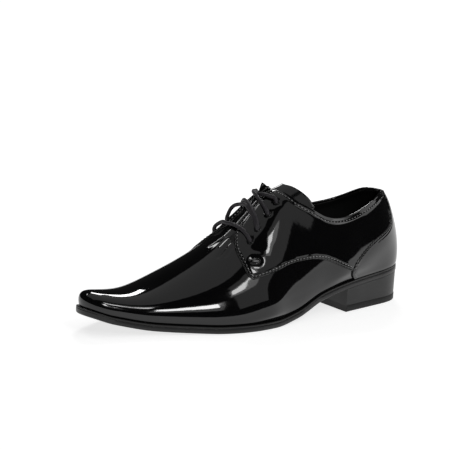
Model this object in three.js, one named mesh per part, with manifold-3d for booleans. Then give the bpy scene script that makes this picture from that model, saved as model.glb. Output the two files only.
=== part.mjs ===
// A plain-toe derby dress shoe in patent leather, for the left foot. Millimetres, +X to the toe, +Y to
// the outer side, +Z up. Every piece is drawn on one last, whose surface is the outer face of the vamp.
import * as THREE from "three";
import { mergeVertices } from "three/addons/utils/BufferGeometryUtils.js";
import Module from "manifold-3d";

const wasm = await Module();
wasm.setup();

// Driving dimensions
const lastLength = 300;
const breadth = 103; // outline width at the ball, which the side shares refer to
const instepHeight = 95; // top of the instep over the floor
const backHeight = 90; // top of the back seam over the floor
const heelHeight = 24.2; // floor to the sole, under the back of the heel
const toeSpring = 15.5; // floor to the sole, under the tip of the toe
const soleThickness = 5.6;
const liftThickness = 5.2;
const heelBreastAt = 70; // from the back of the heel to its front face
const soleEdgeFore = 2.1; // how far the sole stands out round the forepart
const soleEdgeHeel = 1.5; // and round the heel
const wall = 1.9; // vamp leather and lining together
const quarterStep = 0.9; // how far the quarters stand out from the vamp
const counterStep = 1.5; // how far the heel counter stands out
const overlap = 1.3; // how deep the quarters and the counter are let into the wall
const insoleThickness = 1.6;
const tongueThickness = 1.7;
const eyeletBore = 4.6;
const laceDiameter = 2.8;
const gap = 0.3; // between pieces that touch

// Sections, from the heel's back round both sides to the toe's tip. "at" is a share of the last's
// length, "out" and "shoulder" of the breadth, "rise" of the back height. Lean is in degrees.
const sectionColumns = ["outerAt", "outerOut", "innerAt", "innerOut", "ridgeAt",
  "outerLean", "outerRise", "outerShoulder", "innerLean", "innerRise", "innerShoulder"];
const sections = [
  [0.000, 0.000, 0.000, 0.000, 0.145, 8.5, 0.42, 0.200, 8.5, 0.42, 0.200], // heel, back
  [0.030, 0.193, 0.030, -0.205, 0.150, 8.0, 0.42, 0.140, 8.0, 0.42, 0.140], // heel, corner
  [0.110, 0.282, 0.110, -0.295, 0.175, 13, 0.467, 0.194, 13, 0.467, 0.194], // heel, side
  [0.270, 0.386, 0.260, -0.270, 0.270, 16, 0.467, 0.175, 20, 0.467, 0.175], // seat, front
  [0.440, 0.477, 0.430, -0.220, 0.430, 20, 0.333, 0.214, 32, 0.400, 0.214], // waist
  [0.620, 0.522, 0.670, -0.430, 0.640, 22, 0.200, 0.262, 14, 0.200, 0.243], // ball
  [0.800, 0.328, 0.820, -0.300, 0.805, 20, 0.144, 0.214, 16, 0.144, 0.194], // forepart
  [0.930, 0.187, 0.930, -0.165, 0.905, 16, 0.118, 0.135, 15, 0.118, 0.135], // tip, side
  [0.971, 0.107, 0.970, -0.075, 0.934, 11, 0.103, 0.120, 11, 0.103, 0.120], // tip, corner
  [0.980, 0.012, 0.980, 0.012, 0.938, 10, 0.101, 0.110, 10, 0.101, 0.110], // tip
];
// The ridge along the top: its height as a share of the instep height, its side place of the breadth
const ridgeColumns = ["at", "high", "aside"];
const ridgeRows = [
  [0.10, 1.280, 0.000],
  [0.25, 1.253, 0.022],
  [0.38, 1.126, 0.046],
  [0.46, 0.997, 0.060],
  [0.55, 0.750, 0.057],
  [0.64, 0.563, 0.050],
  [0.74, 0.418, 0.031],
  [0.84, 0.324, 0.014],
  [0.93, 0.334, 0.000],
];
// The sole's underside: shares of the heel height and of the toe spring
const undersideColumns = ["at", "heel", "toe"];
const undersideRows = [
  [0.00, 1.00, 0.00],
  [0.10, 0.91, 0.00],
  [0.22, 0.80, 0.00],
  [0.32, 0.60, 0.00],
  [0.42, 0.15, 0.00],
  [0.50, 0.00, 0.00],
  [0.65, 0.00, 0.00],
  [0.72, 0.00, 0.06],
  [0.82, 0.00, 0.20],
  [0.92, 0.00, 0.58],
  [1.00, 0.00, 1.00],
];
// Style lines on the last: "station" runs from the heel's back (0) to the toe's tip (1), "up" from the
// feather edge (0) to the ridge (1).
const lineColumns = ["station", "up"];
const outerTopLine = [
  [0.000, 0.498],
  [0.091, 0.497],
  [0.172, 0.455],
  [0.222, 0.422],
  [0.269, 0.414],
  [0.303, 0.437],
  [0.333, 0.486],
  [0.363, 0.575],
  [0.394, 0.678],
  [0.424, 0.825],
  [0.440, 0.900],
  [0.461, 0.938],
  [0.505, 0.940],
  [0.535, 0.930],
  [0.565, 0.900],
];
const innerTopLine = [
  [0.000, 0.498],
  [0.050, 0.497],
  [0.091, 0.470],
  [0.131, 0.428],
  [0.182, 0.394],
  [0.242, 0.392],
  [0.303, 0.430],
  [0.333, 0.486],
  [0.363, 0.575],
  [0.394, 0.678],
  [0.424, 0.825],
  [0.440, 0.900],
  [0.461, 0.938],
  [0.505, 0.940],
  [0.535, 0.930],
  [0.565, 0.900],
];
const quarterFront = [
  [0.551, 0.915],
  [0.567, 0.860],
  [0.579, 0.809],
  [0.589, 0.750],
  [0.594, 0.646],
  [0.595, 0.545],
  [0.591, 0.470],
  [0.582, 0.434],
];
const quarterSeam = [
  [0.582, 0.434],
  [0.550, 0.411],
  [0.503, 0.385],
  [0.464, 0.370],
  [0.428, 0.346],
  [0.384, 0.295],
  [0.351, 0.239],
  [0.318, 0.179],
  [0.288, 0.122],
  [0.237, 0.055],
];
const quarterBack = [
  [0.237, 0.055],
  [0.192, 0.180],
  [0.131, 0.230],
  [0.081, 0.275],
  [0.056, 0.350],
  [0.045, 0.498],
];
const counterEdge = [
  [0.235, 0.000],
  [0.254, 0.055],
  [0.256, 0.098],
  [0.244, 0.135],
  [0.228, 0.165],
  [0.208, 0.198],
  [0.183, 0.228],
  [0.150, 0.255],
  [0.119, 0.280],
  [0.093, 0.315],
  [0.080, 0.360],
  [0.073, 0.420],
  [0.071, 0.480],
];
const tongueEdge = [
  [0.595, 0.880],
  [0.565, 0.780],
  [0.505, 0.690],
  [0.444, 0.620],
  [0.394, 0.575],
  [0.348, 0.570],
];
const tongueTop = [
  [0.348, 0.570],
  [0.355, 0.640],
  [0.367, 0.710],
  [0.382, 0.790],
  [0.397, 0.870],
  [0.408, 0.945],
  [0.412, 1.000],
];
const throatStation = 0.580; // where the vamp ends between the quarters
const eyelets = [
  [0.549, 0.708],
  [0.521, 0.737],
  [0.484, 0.762],
  [0.453, 0.790],
];

const patent = { color: 0x0e0e10, roughness: 0.12, metalness: 0 };
const looks = {
  upper: patent,
  tongue: patent,
  insole: { color: 0x2a2724, roughness: 0.7, metalness: 0 },
  outsole: { color: 0x26262a, roughness: 0.45, metalness: 0 },
  heelBlock: { color: 0x333338, roughness: 0.5, metalness: 0 },
  heelLift: { color: 0x1a1a1c, roughness: 0.7, metalness: 0 },
  lace: { color: 0x2c2c2f, roughness: 0.8, metalness: 0 },
};

// A named column of a table
const pick = (rows, columns, name) => rows.map((row) => row[columns.indexOf(name)]);
const mix = (a, b, share) => a + (b - a) * share;

// Natural cubic spline of one list of values over rising places
function spline(places, values) {
  const last = places.length - 1;
  const bend = new Array(last + 1).fill(0);
  const carried = new Array(last + 1).fill(0);
  for (let i = 1; i < last; i++) {
    const before = places[i] - places[i - 1];
    const after = places[i + 1] - places[i];
    const pivot = 2 * (before + after) - before * bend[i - 1];
    bend[i] = after / pivot;
    const turn = (values[i + 1] - values[i]) / after - (values[i] - values[i - 1]) / before;
    carried[i] = (6 * turn - before * carried[i - 1]) / pivot;
  }
  const second = new Array(last + 1).fill(0);
  for (let i = last - 1; i > 0; i--) second[i] = carried[i] - bend[i] * second[i + 1];
  return (place) => {
    let k = 0;
    while (k < last - 1 && place > places[k + 1]) k++;
    const step = places[k + 1] - places[k];
    const a = (places[k + 1] - place) / step;
    const b = (place - places[k]) / step;
    const bow = (a ** 3 - a) * second[k] + (b ** 3 - b) * second[k + 1];
    return a * values[k] + b * values[k + 1] + (bow * step * step) / 6;
  };
}

// Curve through rising places that never overshoots its values, so flats stay flat
function steady(places, values) {
  const slopes = places.map((_, i) => {
    if (i === 0 || i === places.length - 1) return 0;
    const before = (values[i] - values[i - 1]) / (places[i] - places[i - 1]);
    const after = (values[i + 1] - values[i]) / (places[i + 1] - places[i]);
    return before * after <= 0 ? 0 : (2 * before * after) / (before + after);
  });
  return (place) => {
    let k = 0;
    while (k < places.length - 2 && place > places[k + 1]) k++;
    const step = places[k + 1] - places[k];
    const s = THREE.MathUtils.clamp((place - places[k]) / step, 0, 1);
    const rise = values[k] * (1 + 2 * s) * (1 - s) ** 2 + values[k + 1] * s * s * (3 - 2 * s);
    return rise + step * (slopes[k] * s * (1 - s) ** 2 + slopes[k + 1] * s * s * (s - 1));
  };
}

// The last
const length = (shares) => shares.map((share) => share * lastLength);
const side = (name) => {
  const of = (what) => pick(sections, sectionColumns, name + what);
  return {
    along: length(of("At")),
    across: of("Out").map((share) => share * breadth),
    ridge: length(pick(sections, sectionColumns, "ridgeAt")),
    lean: of("Lean").map((degrees) => THREE.MathUtils.degToRad(degrees)),
    rise: of("Rise").map((share) => share * backHeight),
    shoulder: of("Shoulder").map((share) => share * breadth),
  };
};
const outer = side("outer");
const inner = side("inner");

// Stations follow the mean length of both feather edges
const stations = [0];
for (let i = 1; i < sections.length; i++) {
  const run = (s) => Math.hypot(s.along[i] - s.along[i - 1], s.across[i] - s.across[i - 1]);
  stations.push(stations[i - 1] + run(outer) + run(inner));
}
const whole = stations[stations.length - 1];
stations.forEach((place, i) => (stations[i] = place / whole));

// One closed ring: -1 and 1 are the toe's tip, 0 the heel's back, positive the outer side
const around = {};
for (const name of Object.keys(outer)) {
  const places = [...stations.slice(1).reverse().map((s) => -s), ...stations];
  const values = [...inner[name].slice(1).reverse(), ...outer[name]];
  const more = 4;
  const count = places.length;
  const before = places.slice(count - 1 - more, count - 1).map((s) => s - 2);
  const after = places.slice(1, 1 + more).map((s) => s + 2);
  around[name] = spline(
    [...before, ...places, ...after],
    [...values.slice(count - 1 - more, count - 1), ...values, ...values.slice(1, 1 + more)],
  );
}
const ridgeAt = length(pick(ridgeRows, ridgeColumns, "at"));
const ridgeHigh = spline(ridgeAt, pick(ridgeRows, ridgeColumns, "high").map((h) => h * instepHeight));
const ridgeAside = spline(ridgeAt, pick(ridgeRows, ridgeColumns, "aside").map((a) => a * breadth));
const undersideAt = length(pick(undersideRows, undersideColumns, "at"));
const underside = steady(
  undersideAt,
  undersideRows.map((_, i) => {
    const share = (name) => pick(undersideRows, undersideColumns, name)[i];
    return share("heel") * heelHeight + share("toe") * toeSpring;
  }),
);
const seatHigh = (along) => underside(THREE.MathUtils.clamp(along, 0, lastLength)) + soleThickness + gap;

function lastPoint(ring, up) {
  const at = (name) => around[name](ring);
  const foot = new THREE.Vector3(at("along"), at("across"), seatHigh(at("along")));
  const top = new THREE.Vector3(at("ridge"), ridgeAside(at("ridge")), ridgeHigh(at("ridge")));
  const slope = ridgeHigh(at("ridge") + 0.5) - ridgeHigh(at("ridge") - 0.5);
  const away = new THREE.Vector3(foot.x - top.x, foot.y - top.y, 0).normalize();
  const low = foot.clone().addScaledVector(away, at("rise") * Math.sin(at("lean")));
  low.z += at("rise") * Math.cos(at("lean"));
  const high = top.clone().addScaledVector(away, at("shoulder"));
  high.z += at("shoulder") * slope * away.x;
  return new THREE.CubicBezierCurve3(foot, low, high, top).getPoint(up);
}

// The way out of the last: level at the feather edge, and shared by both sides on the ridge
function lastOut(ring, up) {
  const step = 0.002;
  if (up > 1 - step) {
    const at = around.ridge(ring);
    const slope = ridgeHigh(at + 0.5) - ridgeHigh(at - 0.5);
    return new THREE.Vector3(-slope, 0, 1).normalize();
  }
  const mid = Math.max(up, step);
  const rising = lastPoint(ring, mid + step).sub(lastPoint(ring, mid - step));
  const going = lastPoint(ring + step, mid).sub(lastPoint(ring - step, mid));
  const out = going.cross(rising).negate();
  out.z *= THREE.MathUtils.smoothstep(up, 0, 0.05);
  return out.normalize();
}
const onLast = (ring, up, off) => lastPoint(ring, up).addScaledVector(lastOut(ring, up), off);

// A sheet with a thickness. "spot" gives a grid corner's place on the last, "kept" says which cells
// are there. Corners that fall together are one, and every free edge gets a wall.
function sheet(columns, rows, spot, kept, outerOff, innerOff) {
  const corners = [];
  const known = new Map();
  const index = (i, j) => {
    const place = spot(i, j);
    const at = onLast(place.ring, place.up, 0);
    const key = [at.x, at.y, at.z].map((value) => Math.round(value * 200)).join();
    if (!known.has(key)) {
      known.set(key, corners.length);
      corners.push(place);
    }
    return known.get(key);
  };
  const faces = [];
  const face = (a, b, c) => {
    if (a !== b && b !== c && c !== a) faces.push([a, b, c]);
  };
  for (let i = 0; i < columns; i++) {
    for (let j = 0; j < rows; j++) {
      if (!kept(i, j)) continue;
      const [a, b, c, d] = [index(i, j), index(i + 1, j), index(i + 1, j + 1), index(i, j + 1)];
      face(a, b, c);
      face(a, c, d);
    }
  }
  return thicken(corners, faces, outerOff, innerOff);
}

function thicken(corners, faces, outerOff, innerOff) {
  const count = corners.length;
  const positions = [];
  for (const off of [outerOff, innerOff]) {
    for (const place of corners) positions.push(...onLast(place.ring, place.up, off).toArray());
  }
  const triangles = [];
  const edges = new Set(faces.flatMap(([a, b, c]) => [`${a},${b}`, `${b},${c}`, `${c},${a}`]));
  for (const [a, b, c] of faces) {
    triangles.push(a, c, b, a + count, b + count, c + count);
    for (const [from, to] of [[a, b], [b, c], [c, a]]) {
      if (edges.has(`${to},${from}`)) continue;
      triangles.push(from, to, to + count, from, to + count, from + count);
    }
  }
  return solidOf(positions, triangles);
}

// Closed solids and their joins
function solidOf(positions, triangles) {
  const geometry = new THREE.BufferGeometry();
  geometry.setAttribute("position", new THREE.Float32BufferAttribute(positions, 3));
  geometry.setIndex(triangles);
  return fromGeometry(geometry);
}
function fromGeometry(geometry) {
  geometry.deleteAttribute("normal");
  geometry.deleteAttribute("uv");
  const merged = mergeVertices(geometry, 1e-4);
  const mesh = new wasm.Mesh({
    numProp: 3,
    vertProperties: new Float32Array(merged.attributes.position.array),
    triVerts: new Uint32Array(merged.index.array),
  });
  return new wasm.Manifold(mesh);
}
function toGeometry(solid) {
  const mesh = solid.getMesh();
  const geometry = new THREE.BufferGeometry();
  geometry.setAttribute("position", new THREE.BufferAttribute(mesh.vertProperties, 3));
  geometry.setIndex(new THREE.BufferAttribute(mesh.triVerts, 1));
  return geometry;
}

// Style lines as functions of a share along them, or of the station
const lineAt = (rows, name) => pick(rows, lineColumns, name);
const upAt = (rows) => spline(lineAt(rows, "station"), lineAt(rows, "up"));
const outerTop = upAt(outerTopLine);
const innerTop = upAt(innerTopLine);
const topUp = (ring) => (ring < 0 ? innerTop(-ring) : outerTop(ring));
function along(rows) {
  const stationRows = lineAt(rows, "station");
  const upRows = lineAt(rows, "up");
  const shares = [0];
  for (let i = 1; i < rows.length; i++) {
    const run = Math.hypot((stationRows[i] - stationRows[i - 1]) * 3, upRows[i] - upRows[i - 1]);
    shares.push(shares[i - 1] + run);
  }
  const total = shares[shares.length - 1];
  const places = shares.map((share) => share / total);
  const station = spline(places, stationRows);
  const up = spline(places, upRows);
  return (share) => ({ station: station(share), up: up(share) });
}

// Upper: the vamp and lining run all round, and stop a little below the quarters' own top edge
const ledge = 0.016;
const collarColumns = 20;
const vampColumns = 14;
const lowRows = 9;
const highRows = 2;
const vampRows = lowRows + highRows;
function topStations(top, from, to, count) {
  const fine = 400;
  const marks = [0];
  for (let i = 1; i <= fine; i++) {
    const at = (k) => mix(from, to, k / fine);
    marks.push(marks[i - 1] + Math.hypot((at(i) - at(i - 1)) * 3, top(at(i)) - top(at(i - 1))));
  }
  const places = [];
  for (let k = 0, i = 0; k <= count; k++) {
    while (i < fine && marks[i] < (marks[fine] * k) / count) i++;
    places.push(mix(from, to, i / fine));
  }
  return places;
}
const vampTop = (ring) => {
  const end = quarterFront[0][0];
  const sign = ring < 0 ? -1 : 1;
  return topUp(sign * Math.min(Math.abs(ring), end)) - ledge;
};
const halfStations = [
  ...topStations(outerTop, 0, throatStation, collarColumns),
  ...Array.from({ length: vampColumns }, (_, k) => mix(throatStation, 1, (k + 1) / vampColumns)),
];
const ringStations = [...halfStations.slice(1).reverse().map((s) => -s), ...halfStations];
function vampSpot(i, j) {
  const ring = ringStations[i];
  const top = vampTop(ring);
  return { ring, up: j <= lowRows ? (top * j) / lowRows : mix(top, 1, (j - lowRows) / highRows) };
}
function vampKept(i, j) {
  const middle = (Math.abs(ringStations[i]) + Math.abs(ringStations[i + 1])) / 2;
  return j < lowRows || middle > throatStation;
}

// A patch stretched between four lines. Low and high run from its left end to its right end, and left
// and right run from low to high.
function patch(low, high, left, right) {
  return (share, rise) => {
    const blend = (name) => {
      const across = mix(low(share)[name], high(share)[name], rise);
      const upward = mix(left(rise)[name], right(rise)[name], share);
      const atLow = mix(low(0)[name], low(1)[name], share);
      const atHigh = mix(high(0)[name], high(1)[name], share);
      return across + upward - mix(atLow, atHigh, rise);
    };
    return { station: blend("station"), up: blend("up") };
  };
}

// A quarter, from its front edge back to under the counter
const quarterColumns = 22;
const quarterRows = 8;
function quarter(sign) {
  const top = sign < 0 ? innerTop : outerTop;
  const front = along(quarterFront);
  const topFrom = front(0).station;
  const topTo = quarterBack[quarterBack.length - 1][0];
  const onTop = (share) => ({ station: mix(topFrom, topTo, share), up: top(mix(topFrom, topTo, share)) });
  const spotOf = patch(along(quarterSeam), onTop, (rise) => front(1 - rise), along(quarterBack));
  const places = topStations(top, topFrom, topTo, quarterColumns);
  const spot = (i, j) => {
    const place = places[sign > 0 ? quarterColumns - i : i];
    const { station, up } = spotOf((place - topFrom) / (topTo - topFrom), j / quarterRows);
    return { ring: sign * station, up };
  };
  return sheet(quarterColumns, quarterRows, spot, () => true, quarterStep, -overlap);
}

// The counter: rows from the sole up to the collar, each as wide as its edge there
const counterColumns = 14;
const counterRows = 12;
function counter() {
  const edge = along(counterEdge);
  const rowAt = (j) => (j < counterRows ? edge(j / (counterRows - 1)) : edge(1));
  const spot = (i, j) => {
    const row = rowAt(j);
    const ring = mix(-row.station, row.station, i / counterColumns);
    return { ring, up: j < counterRows ? row.up : topUp(ring) };
  };
  return sheet(counterColumns, counterRows, spot, () => true, counterStep, -overlap * 0.7);
}

// Punched holes, four a side, square to the quarter
const holeDepth = 12;
function eyeletHole(sign, [station, up]) {
  const at = onLast(sign * station, up, 0);
  const out = lastOut(sign * station, up);
  const geometry = new THREE.CylinderGeometry(eyeletBore / 2, eyeletBore / 2, holeDepth, 12);
  const turn = new THREE.Quaternion().setFromUnitVectors(new THREE.Vector3(0, 1, 0), out);
  geometry.applyQuaternion(turn);
  geometry.translate(at.x, at.y, at.z);
  return fromGeometry(geometry);
}
function upper() {
  const vamp = sheet(ringStations.length - 1, vampRows, vampSpot, vampKept, 0, -wall);
  let solid = vamp.add(quarter(1)).add(quarter(-1)).add(counter());
  for (const sign of [1, -1]) {
    for (const spot of eyelets) solid = solid.subtract(eyeletHole(sign, spot));
  }
  return toGeometry(solid);
}

// Tongue: one sheet over the ridge, from under the end of the vamp to above the lacing
const tongueColumns = 12;
const tongueRows = 6;
function tongue() {
  const side = along(tongueEdge);
  const end = along(tongueTop);
  const foot = side(0);
  const ridge = (share) => ({ station: mix(foot.station, end(1).station, share), up: 1 });
  const atFoot = (rise) => ({ station: foot.station, up: mix(foot.up, 1, rise) });
  const spotOf = patch(side, ridge, atFoot, end);
  const spot = (i, j) => {
    const rise = (tongueRows - Math.abs(j - tongueRows)) / tongueRows;
    const { station, up } = spotOf(1 - i / tongueColumns, rise);
    return { ring: j > tongueRows ? -station : station, up: Math.min(up, 1) };
  };
  const thick = sheet(tongueColumns, tongueRows * 2, spot, () => true, -wall - 0.1, -wall - gap - tongueThickness);
  const inside = sheet(ringStations.length - 1, vampRows, vampSpot, vampKept, 0, -wall - gap);
  return toGeometry(thick.subtract(inside));
}

// Bottom pieces: stacks of rings round the outline, closed above and below by strips across
function outlinePoint(ring, margin) {
  const step = 0.002;
  const at = (place) => new THREE.Vector2(around.along(place), around.across(place));
  const going = at(ring + step).sub(at(ring - step)).normalize();
  return at(ring).add(new THREE.Vector2(going.y, -going.x).multiplyScalar(-margin));
}
function stack(rings, levels, closed) {
  const count = rings.length;
  const partner = (i) => (closed ? (count - i) % count : count - 1 - i);
  const positions = [];
  for (const level of levels) {
    for (const ring of rings) {
      const at = outlinePoint(ring, level.margin(ring));
      positions.push(at.x, at.y, level.high(at.x));
    }
  }
  const triangles = [];
  const face = (a, b, c) => {
    if (a !== b && b !== c && c !== a) triangles.push(a, b, c);
  };
  for (let k = 0; k < levels.length - 1; k++) {
    for (let i = 0; i < count; i++) {
      const [a, b] = [k * count + i, k * count + ((i + 1) % count)];
      face(a, a + count, b + count);
      face(a, b + count, b);
    }
  }
  const top = (levels.length - 1) * count;
  for (let i = 0; i < Math.floor(count / 2); i++) {
    const [a, b, c, d] = [i, i + 1, partner(i + 1), partner(i)];
    face(a, b, c);
    face(a, c, d);
    face(top + a, top + c, top + b);
    face(top + a, top + d, top + c);
  }
  return toGeometry(solidOf(positions, triangles));
}
const clampAlong = (x) => THREE.MathUtils.clamp(x, 0, lastLength);
function edgeAt(ring) {
  return mix(soleEdgeHeel, soleEdgeFore, THREE.MathUtils.smoothstep(Math.abs(ring), 0.3, 0.5));
}
const soleStations = 44;
const soleRings = Array.from({ length: soleStations * 2 }, (_, i) => -1 + i / soleStations);
function outsole() {
  const level = (inset, above) => ({
    margin: (ring) => edgeAt(ring) - inset,
    high: (x) => underside(clampAlong(x)) + above,
  });
  const levels = [
    level(0.8, 0),
    level(0, 0.9),
    level(0, soleThickness - 1.7),
    level(0.5, soleThickness - 1.4),
    level(0.5, soleThickness - 0.4),
    level(0.9, soleThickness),
  ];
  return stack(soleRings, levels, true);
}
function insole() {
  const inset = wall + 0.5;
  const top = (x) => underside(clampAlong(x)) + soleThickness;
  const level = (above) => ({ margin: () => -inset, high: (x) => top(x) + above });
  return stack(soleRings, [level(gap), level(gap + insoleThickness)], true);
}

// The heel stops at its front face, square across
function ringWhere(sign, along) {
  let low = 0;
  let high = 0.5;
  for (let i = 0; i < 40; i++) {
    const middle = (low + high) / 2;
    if (around.along(sign * middle) < along) low = middle;
    else high = middle;
  }
  return sign * low;
}
const heelStations = 16;
const heelRings = Array.from({ length: heelStations * 2 + 1 }, (_, i) => {
  const share = (i - heelStations) / heelStations;
  return Math.abs(share) * ringWhere(share < 0 ? -1 : 1, heelBreastAt);
});
function heelBlock() {
  const bottom = { margin: () => soleEdgeHeel - 0.9, high: () => liftThickness + gap };
  const top = { margin: () => soleEdgeHeel - 0.4, high: (x) => underside(clampAlong(x)) - gap };
  return stack(heelRings, [bottom, top], false);
}
function heelLift() {
  const level = (inset, high) => ({ margin: () => soleEdgeHeel - inset, high: () => high });
  return stack(heelRings, [level(1.2, 0), level(0.7, 0.8), level(0.7, liftThickness)], false);
}

// Laces: each strand comes out of one hole, lies over both facings and dips into another
const laceSides = 8;
const laceStand = quarterStep + laceDiameter / 2 + gap + 0.4;
const laceDip = -wall + 0.3;
function strand(from, to) {
  const middle = (eyelets[from.row][0] + eyelets[to.row][0]) / 2;
  const over = (end, share, off) => {
    const [station, up] = eyelets[end.row];
    return onLast(end.sign * mix(station, middle, share), mix(up, 1, share), off);
  };
  const path = (end) => [
    over(end, 0, laceDip),
    over(end, 0, quarterStep + 0.5),
    over(end, 0.12, laceStand + 0.5),
    over(end, 0.4, laceStand),
    over(end, 0.7, laceStand),
  ];
  const points = [...path(from), onLast(middle, 1, laceStand), ...path(to).reverse()];
  return new THREE.CatmullRomCurve3(points, false, "centripetal");
}
function cord(curve, steps) {
  const shape = new THREE.Shape(
    Array.from({ length: laceSides }, (_, i) => {
      const turn = (i / laceSides) * Math.PI * 2;
      return new THREE.Vector2(Math.cos(turn), Math.sin(turn)).multiplyScalar(laceDiameter / 2);
    }),
  );
  return fromGeometry(new THREE.ExtrudeGeometry(shape, { steps, extrudePath: curve, bevelEnabled: false }));
}
const near = (row) => ({ sign: 1, row });
const far = (row) => ({ sign: -1, row });
const laceSteps = 16;
function laces(pairs) {
  const cords = pairs.map(([from, to]) => cord(strand(from, to), laceSteps));
  return toGeometry(cords.reduce((all, one) => all.add(one)));
}

// Assembly, with the origin under the middle of the whole shoe
const pieces = new THREE.Group();
function place(name, geometry, look) {
  const mesh = new THREE.Mesh(geometry, new THREE.MeshStandardMaterial(look));
  mesh.name = name;
  pieces.add(mesh);
}
place("outsole", outsole(), looks.outsole);
place("heel_block", heelBlock(), looks.heelBlock);
place("heel_lift", heelLift(), looks.heelLift);
place("insole", insole(), looks.insole);
place("upper", upper(), looks.upper);
place("tongue", tongue(), looks.tongue);
place("lace_low", laces([[near(0), far(0)]]), looks.lace);
place("lace_middle", laces([[near(1), far(1)], [near(1), far(2)]]), looks.lace);
place("lace_high", laces([[near(2), far(3)], [near(3), far(3)]]), looks.lace);
const middle = new THREE.Box3().setFromObject(pieces).getCenter(new THREE.Vector3());
pieces.position.set(-middle.x, -middle.y, 0);

const shoe = new THREE.Group();
shoe.add(pieces);
export default shoe;
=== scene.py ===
import math

import bmesh
import bpy
import numpy as np
from mathutils import Matrix, Vector


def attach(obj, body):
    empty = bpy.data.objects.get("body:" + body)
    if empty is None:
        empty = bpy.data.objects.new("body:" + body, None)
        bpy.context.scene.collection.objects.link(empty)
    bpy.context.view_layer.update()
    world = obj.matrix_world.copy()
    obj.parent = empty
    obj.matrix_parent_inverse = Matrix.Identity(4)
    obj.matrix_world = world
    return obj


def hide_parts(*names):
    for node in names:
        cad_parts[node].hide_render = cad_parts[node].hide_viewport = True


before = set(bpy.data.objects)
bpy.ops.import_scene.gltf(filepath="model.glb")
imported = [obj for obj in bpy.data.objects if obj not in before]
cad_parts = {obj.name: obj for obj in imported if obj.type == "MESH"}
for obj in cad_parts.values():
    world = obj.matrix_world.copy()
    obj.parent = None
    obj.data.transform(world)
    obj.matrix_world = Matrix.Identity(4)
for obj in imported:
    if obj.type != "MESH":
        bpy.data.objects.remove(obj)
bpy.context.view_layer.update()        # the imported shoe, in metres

mm = 0.001
weldAt = 0.00001  # m, points closer than this become one


def putInScene(name, data):
    thing = bpy.data.objects.new(name, data)
    bpy.context.scene.collection.objects.link(thing)
    return thing


# Camera, on the outer side and a little ahead of the shoe
view = {
    "target": (12.28, -13.59, 70.13),  # mm
    "turn": 34.297,      # degrees from the outer side towards the toe
    "height": 12.0,      # degrees over the floor
    "roll": 2.235,       # degrees
    "distance": 1634.7,  # mm
    "lens": 165.55,      # mm, on a sensor 36 mm wide
}


def placeCamera():
    turn, height, roll = (math.radians(view[key]) for key in ("turn", "height", "roll"))
    back = Vector((math.sin(turn) * math.cos(height), math.cos(turn) * math.cos(height), math.sin(height)))
    right = (-back).cross(Vector((0, 0, 1))).normalized()
    up = right.cross(-back)
    tilted = right * math.cos(roll) + up * math.sin(roll)
    upright = up * math.cos(roll) - right * math.sin(roll)
    data = bpy.data.cameras.new("camera")
    data.sensor_width = 36
    data.lens = view["lens"]
    data.clip_start, data.clip_end = 0.05, 60
    camera = putInScene("camera", data)
    camera.rotation_mode = "QUATERNION"
    camera.rotation_quaternion = Matrix((tilted, upright, back)).transposed().to_quaternion()
    camera.location = (Vector(view["target"]) + back * view["distance"]) * mm
    bpy.context.scene.camera = camera
    bpy.context.scene.view_settings.view_transform = "Standard"


placeCamera()
print("camera placed")


# Shader maths written as plain sums: a wire is one socket of a look
class Wire:
    def __init__(self, look, socket):
        self.look, self.socket = look, socket

    def sum(self, kind, first, second):
        return self.look.add("ShaderNodeMath", {"operation": kind}, {0: first, 1: second})

    def __add__(self, other):
        return self.sum("ADD", self, other)

    def __radd__(self, other):
        return self.sum("ADD", other, self)

    def __sub__(self, other):
        return self.sum("SUBTRACT", self, other)

    def __rsub__(self, other):
        return self.sum("SUBTRACT", other, self)

    def __mul__(self, other):
        return self.sum("MULTIPLY", self, other)

    def __rmul__(self, other):
        return self.sum("MULTIPLY", other, self)


class Look:
    def __init__(self, name):
        self.material = bpy.data.materials.new(name)
        self.material.use_nodes = True
        self.nodes = self.material.node_tree.nodes
        self.links = self.material.node_tree.links
        self.shader = self.nodes["Principled BSDF"]

    def add(self, kind, settings=None, values=None, out=0):
        node = self.nodes.new(kind)
        for key, value in (settings or {}).items():
            setattr(node, key, value)
        for key, value in (values or {}).items():
            self.feed(node.inputs[key], value)
        return Wire(self, node.outputs[out])

    def feed(self, socket, value):
        if isinstance(value, Wire):
            self.links.new(value.socket, socket)
        else:
            socket.default_value = value

    def set(self, **values):
        sockets = {socket.name.replace(" ", "").lower(): socket for socket in self.shader.inputs}
        for key, value in values.items():
            self.feed(sockets[key.lower()], value)
        return self

    def spot(self):  # where on the shoe, in metres
        return self.add("ShaderNodeTexCoord", out=3)

    def cloud(self, size, detail=2, rough=0.5, where=None):  # soft noise with features of that many mm
        values = {"Vector": where or self.spot(), "Scale": 1000 / size, "Detail": detail, "Roughness": rough}
        return self.add("ShaderNodeTexNoise", values=values)

    def varied(self, middle, spread, cloud):
        return cloud * spread + (middle - spread / 2)

    def between(self, low, high, share):
        values = {0: share, 6: (*grey(low), 1), 7: (*grey(high), 1)}
        return self.add("ShaderNodeMix", {"data_type": "RGBA"}, values, out=2)

    def bump(self, height, depth, under=None):  # depth in mm
        values = {"Height": height, "Strength": 1, "Distance": depth * mm}
        if under:
            values["Normal"] = under
        return self.add("ShaderNodeBump", values=values)


def grey(shade):
    return tuple(shade) if hasattr(shade, "__len__") else (shade, shade, shade)


# Patent leather: near black and as smooth as glass, but not quite flat. Sizes and depths in mm.
patentValues = {
    "low": (0.0012, 0.0012, 0.0014),
    "high": (0.0024, 0.0024, 0.0027),
    "toneSize": 14,
    "waveSize": 26,
    "waveDepth": 0.05,
    "rippleSize": 8,
    "rippleDepth": 0.035,
    "peelSize": 3.2,
    "hazeSize": 38,
    "haze": 0.05,  # how far the roughness varies
}


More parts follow.
